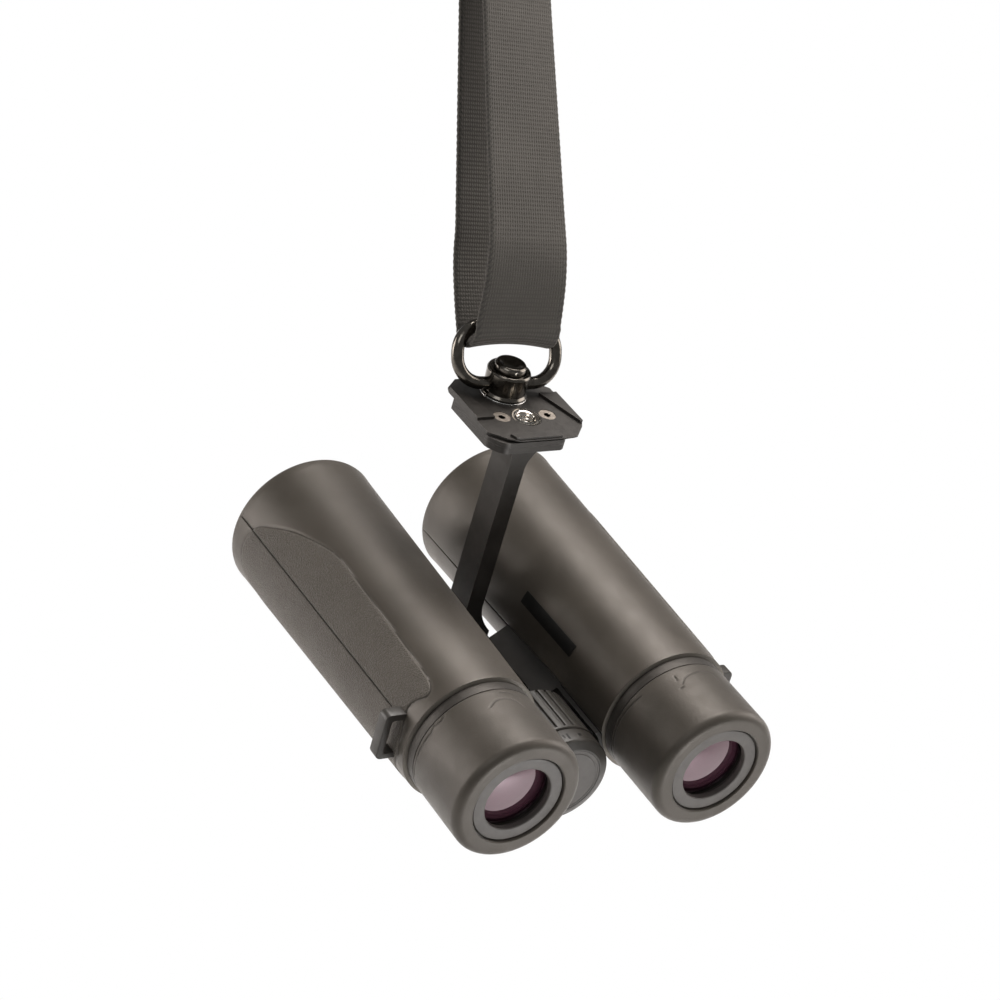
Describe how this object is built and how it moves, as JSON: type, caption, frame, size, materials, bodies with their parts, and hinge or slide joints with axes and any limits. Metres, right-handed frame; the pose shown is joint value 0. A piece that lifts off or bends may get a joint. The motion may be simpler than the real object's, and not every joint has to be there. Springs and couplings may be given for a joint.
{
  "type": "binocular with carrying bracket and strap",
  "caption": "Roof-prism binocular hung upside down from a hinge bracket with a dovetail plate, push-button swivel, metal loop and webbing carry strap.",
  "frame": {"origin": "mouth of the tripod thread in the dovetail plate's flat face", "axes": "+X across the barrels, +Y along the optical axes towards the objectives, +Z out of the dovetail plate, away from the barrels"},
  "size_m": [0.132, 0.2567, 0.3272],
  "materials": {
    "rubber_armour": "satin moulded rubber, dark warm grey",
    "eyecup_rubber": "satin rubber over a plastic sleeve",
    "chassis_paint": "fine matt coating on cast magnesium",
    "black_plastic": "matt black moulding",
    "ring_grey": "matt dark grey ring",
    "lens_glass": "clear polished glass",
    "coated_glass": "multi-coated glass with a violet sheen",
    "seal_rubber": "soft black rubber",
    "bare_steel": "turned steel",
    "drive_brass": "turned brass",
    "anodised_black": "bead-blasted black anodised aluminium",
    "steel_insert": "bright steel thread insert",
    "screw_steel": "stainless socket screws",
    "socket_steel": "polished steel socket",
    "black_oxide": "polished black oxide on steel",
    "spring_steel": "bright spring wire",
    "ball_steel": "polished bearing balls",
    "webbing": "dark grey ribbed nylon webbing",
    "label_black": "plain black strip"
  },
  "bodies": {
    "hinge_and_bracket": {"hinge_spindle": "bare_steel", "front_socket": "drive_brass", "bracket_arm": "anodised_black", "dovetail_plate": "anodised_black", "plate_screws": "screw_steel", "thread_insert": "steel_insert", "qd_socket": "socket_steel"},
    "barrel_right": {"barrel_body_right": "chassis_paint", "armour_right": "rubber_armour", "strap_lug_right": "black_plastic", "objective_lens_right": "lens_glass", "objective_ring_right": "black_plastic", "objective_seal_right": "seal_rubber", "prism_frame_right": "black_plastic", "prism_right": "lens_glass", "ocular_housing_right": "black_plastic", "field_lens_right": "coated_glass", "eye_lens_right": "coated_glass", "eyepiece_ring_right": "ring_grey", "blank_label": "label_black"},
    "barrel_left": {"barrel_body_left": "chassis_paint", "armour_left": "rubber_armour", "strap_lug_left": "black_plastic", "objective_lens_left": "lens_glass", "objective_ring_left": "black_plastic", "objective_seal_left": "seal_rubber", "prism_frame_left": "black_plastic", "prism_left": "lens_glass", "ocular_housing_left": "black_plastic", "field_lens_left": "coated_glass", "eye_lens_left": "coated_glass", "eyepiece_ring_left": "ring_grey"},
    "focusing_right": {"focusing_cell_right": "black_plastic", "focusing_lens_right": "coated_glass"},
    "focusing_left": {"focusing_cell_left": "black_plastic", "focusing_lens_left": "coated_glass"},
    "collar_right": {"eyecup_collar_right": "eyecup_rubber"},
    "collar_left": {"eyecup_collar_left": "eyecup_rubber"},
    "eyecup_right": {"eyecup_right": "eyecup_rubber"},
    "eyecup_left": {"eyecup_left": "eyecup_rubber"},
    "focus_wheel": {"focus_wheel": "black_plastic", "focus_shaft": "bare_steel"},
    "focus_carriage": {"focus_carriage": "drive_brass"},
    "diopter_spindle": {"diopter_spindle": "bare_steel"},
    "diopter_dial": {"diopter_dial": "black_plastic", "dial_disc": "ring_grey"},
    "clamp_washer": {"clamp_washer": "bare_steel"},
    "thumb_screw": {"thumb_screw": "anodised_black"},
    "swivel": {"swivel_body": "black_oxide", "button_spring": "spring_steel"},
    "button": {"swivel_button": "black_oxide"},
    "ball_1": {"detent_ball_1": "ball_steel"},
    "ball_2": {"detent_ball_2": "ball_steel"},
    "ball_3": {"detent_ball_3": "ball_steel"},
    "ball_4": {"detent_ball_4": "ball_steel"},
    "loop": {"swivel_loop": "black_oxide"},
    "strap": {"strap_webbing": "webbing"}
  },
  "joints": [
    {"name": "fold_right", "type": "hinge", "parent": "hinge_and_bracket", "child": "barrel_right", "pos_m": [0, 0, -0.0911], "axis": [0, -1, 0], "range_deg": [-3.5, 19.5]},
    {"name": "fold_left", "type": "hinge", "parent": "hinge_and_bracket", "child": "barrel_left", "pos_m": [0, 0, -0.0911], "axis": [0, -1, 0], "range_deg": [-19.5, 3.5]},
    {"name": "focus_turn", "type": "hinge", "parent": "hinge_and_bracket", "child": "focus_wheel", "pos_m": [0, 0, -0.0911], "axis": [0, 1, 0], "range_deg": [-200, 200]},
    {"name": "carriage_slide", "type": "slide", "parent": "hinge_and_bracket", "child": "focus_carriage", "axis": [0, 1, 0], "range_m": [-0.0025, 0.0025]},
    {"name": "focusing_slide_right", "type": "slide", "parent": "barrel_right", "child": "focusing_right", "axis": [0, 1, 0], "range_m": [-0.0025, 0.0025]},
    {"name": "focusing_slide_left", "type": "slide", "parent": "barrel_left", "child": "focusing_left", "axis": [0, 1, 0], "range_m": [-0.0025, 0.0025]},
    {"name": "diopter_turn", "type": "hinge", "parent": "focus_wheel", "child": "diopter_spindle", "pos_m": [0, 0, -0.0911], "axis": [0, 1, 0], "range_deg": [-30, 30]},
    {"name": "diopter_pull", "type": "slide", "parent": "diopter_spindle", "child": "diopter_dial", "axis": [0, -1, 0], "range_m": [0, 0.0025]},
    {"name": "eyecup_twist_right", "type": "hinge", "parent": "barrel_right", "child": "collar_right", "pos_m": [0.037, 0, -0.0735], "axis": [0, 1, 0], "range_deg": [0, 120]},
    {"name": "eyecup_rise_right", "type": "slide", "parent": "collar_right", "child": "eyecup_right", "axis": [0, -1, 0], "range_m": [0, 0.009]},
    {"name": "eyecup_twist_left", "type": "hinge", "parent": "barrel_left", "child": "collar_left", "pos_m": [-0.037, 0, -0.0735], "axis": [0, 1, 0], "range_deg": [0, 120]},
    {"name": "eyecup_rise_left", "type": "slide", "parent": "collar_left", "child": "eyecup_left", "axis": [0, -1, 0], "range_m": [0, 0.009]},
    {"name": "clamp_back_off", "type": "slide", "parent": "hinge_and_bracket", "child": "clamp_washer", "axis": [0, 1, 0], "range_m": [0, 0.0051]},
    {"name": "clamp_turn", "type": "hinge", "parent": "clamp_washer", "child": "thumb_screw", "pos_m": [0, 0, -0.0911], "axis": [0, 1, 0], "range_deg": [0, 1440]},
    {"name": "swivel_spin", "type": "hinge", "parent": "hinge_and_bracket", "child": "swivel", "pos_m": [-0.0003, 0.01485, 0], "axis": [0, 0, 1], "continuous": true},
    {"name": "button_press", "type": "slide", "parent": "swivel", "child": "button", "axis": [0, 0, -1], "range_m": [0, 0.0022], "stiffness_N_per_m": 300, "deforming": ["button_spring"]},
    {"name": "ball_1_retract", "type": "slide", "parent": "swivel", "child": "ball_1", "axis": [-0.7782, -0.628, 0], "range_m": [0, 0.00086]},
    {"name": "ball_2_retract", "type": "slide", "parent": "swivel", "child": "ball_2", "axis": [0.628, -0.7782, 0], "range_m": [0, 0.00086]},
    {"name": "ball_3_retract", "type": "slide", "parent": "swivel", "child": "ball_3", "axis": [0.7782, 0.628, 0], "range_m": [0, 0.00086]},
    {"name": "ball_4_retract", "type": "slide", "parent": "swivel", "child": "ball_4", "axis": [-0.628, 0.7782, 0], "range_m": [0, 0.00086]},
    {"name": "loop_swing", "type": "hinge", "parent": "swivel", "child": "loop", "pos_m": [-0.0003, 0.01485, 0.0036], "axis": [0.9943, -0.1063, 0], "range_deg": [-33, 87]},
    {"name": "strap_swing", "type": "hinge", "parent": "loop", "child": "strap", "pos_m": [0.00061, 0.02336, 0.02011], "axis": [0.9943, -0.1063, 0], "range_deg": [-40, 40]}
  ],
  "couplings": [
    {"joint": "fold_left", "follows": "fold_right", "ratio": -1},
    {"joint": "carriage_slide", "follows": "focus_turn", "m_per_rad": 0.0007161},
    {"joint": "focusing_slide_right", "follows": "focus_turn", "m_per_rad": 0.0007161},
    {"joint": "focusing_slide_left", "follows": "focus_turn", "m_per_rad": 0.0007161},
    {"joint": "eyecup_rise_right", "follows": "eyecup_twist_right", "m_per_rad": 0.004297},
    {"joint": "eyecup_rise_left", "follows": "eyecup_twist_left", "m_per_rad": 0.004297},
    {"joint": "clamp_back_off", "follows": "clamp_turn", "m_per_rad": 0.00020213},
    {"joint": "ball_1_retract", "follows": "button_press", "ratio": 0.3864},
    {"joint": "ball_2_retract", "follows": "button_press", "ratio": 0.3864},
    {"joint": "ball_3_retract", "follows": "button_press", "ratio": 0.3864},
    {"joint": "ball_4_retract", "follows": "button_press", "ratio": 0.3864}
  ]
}
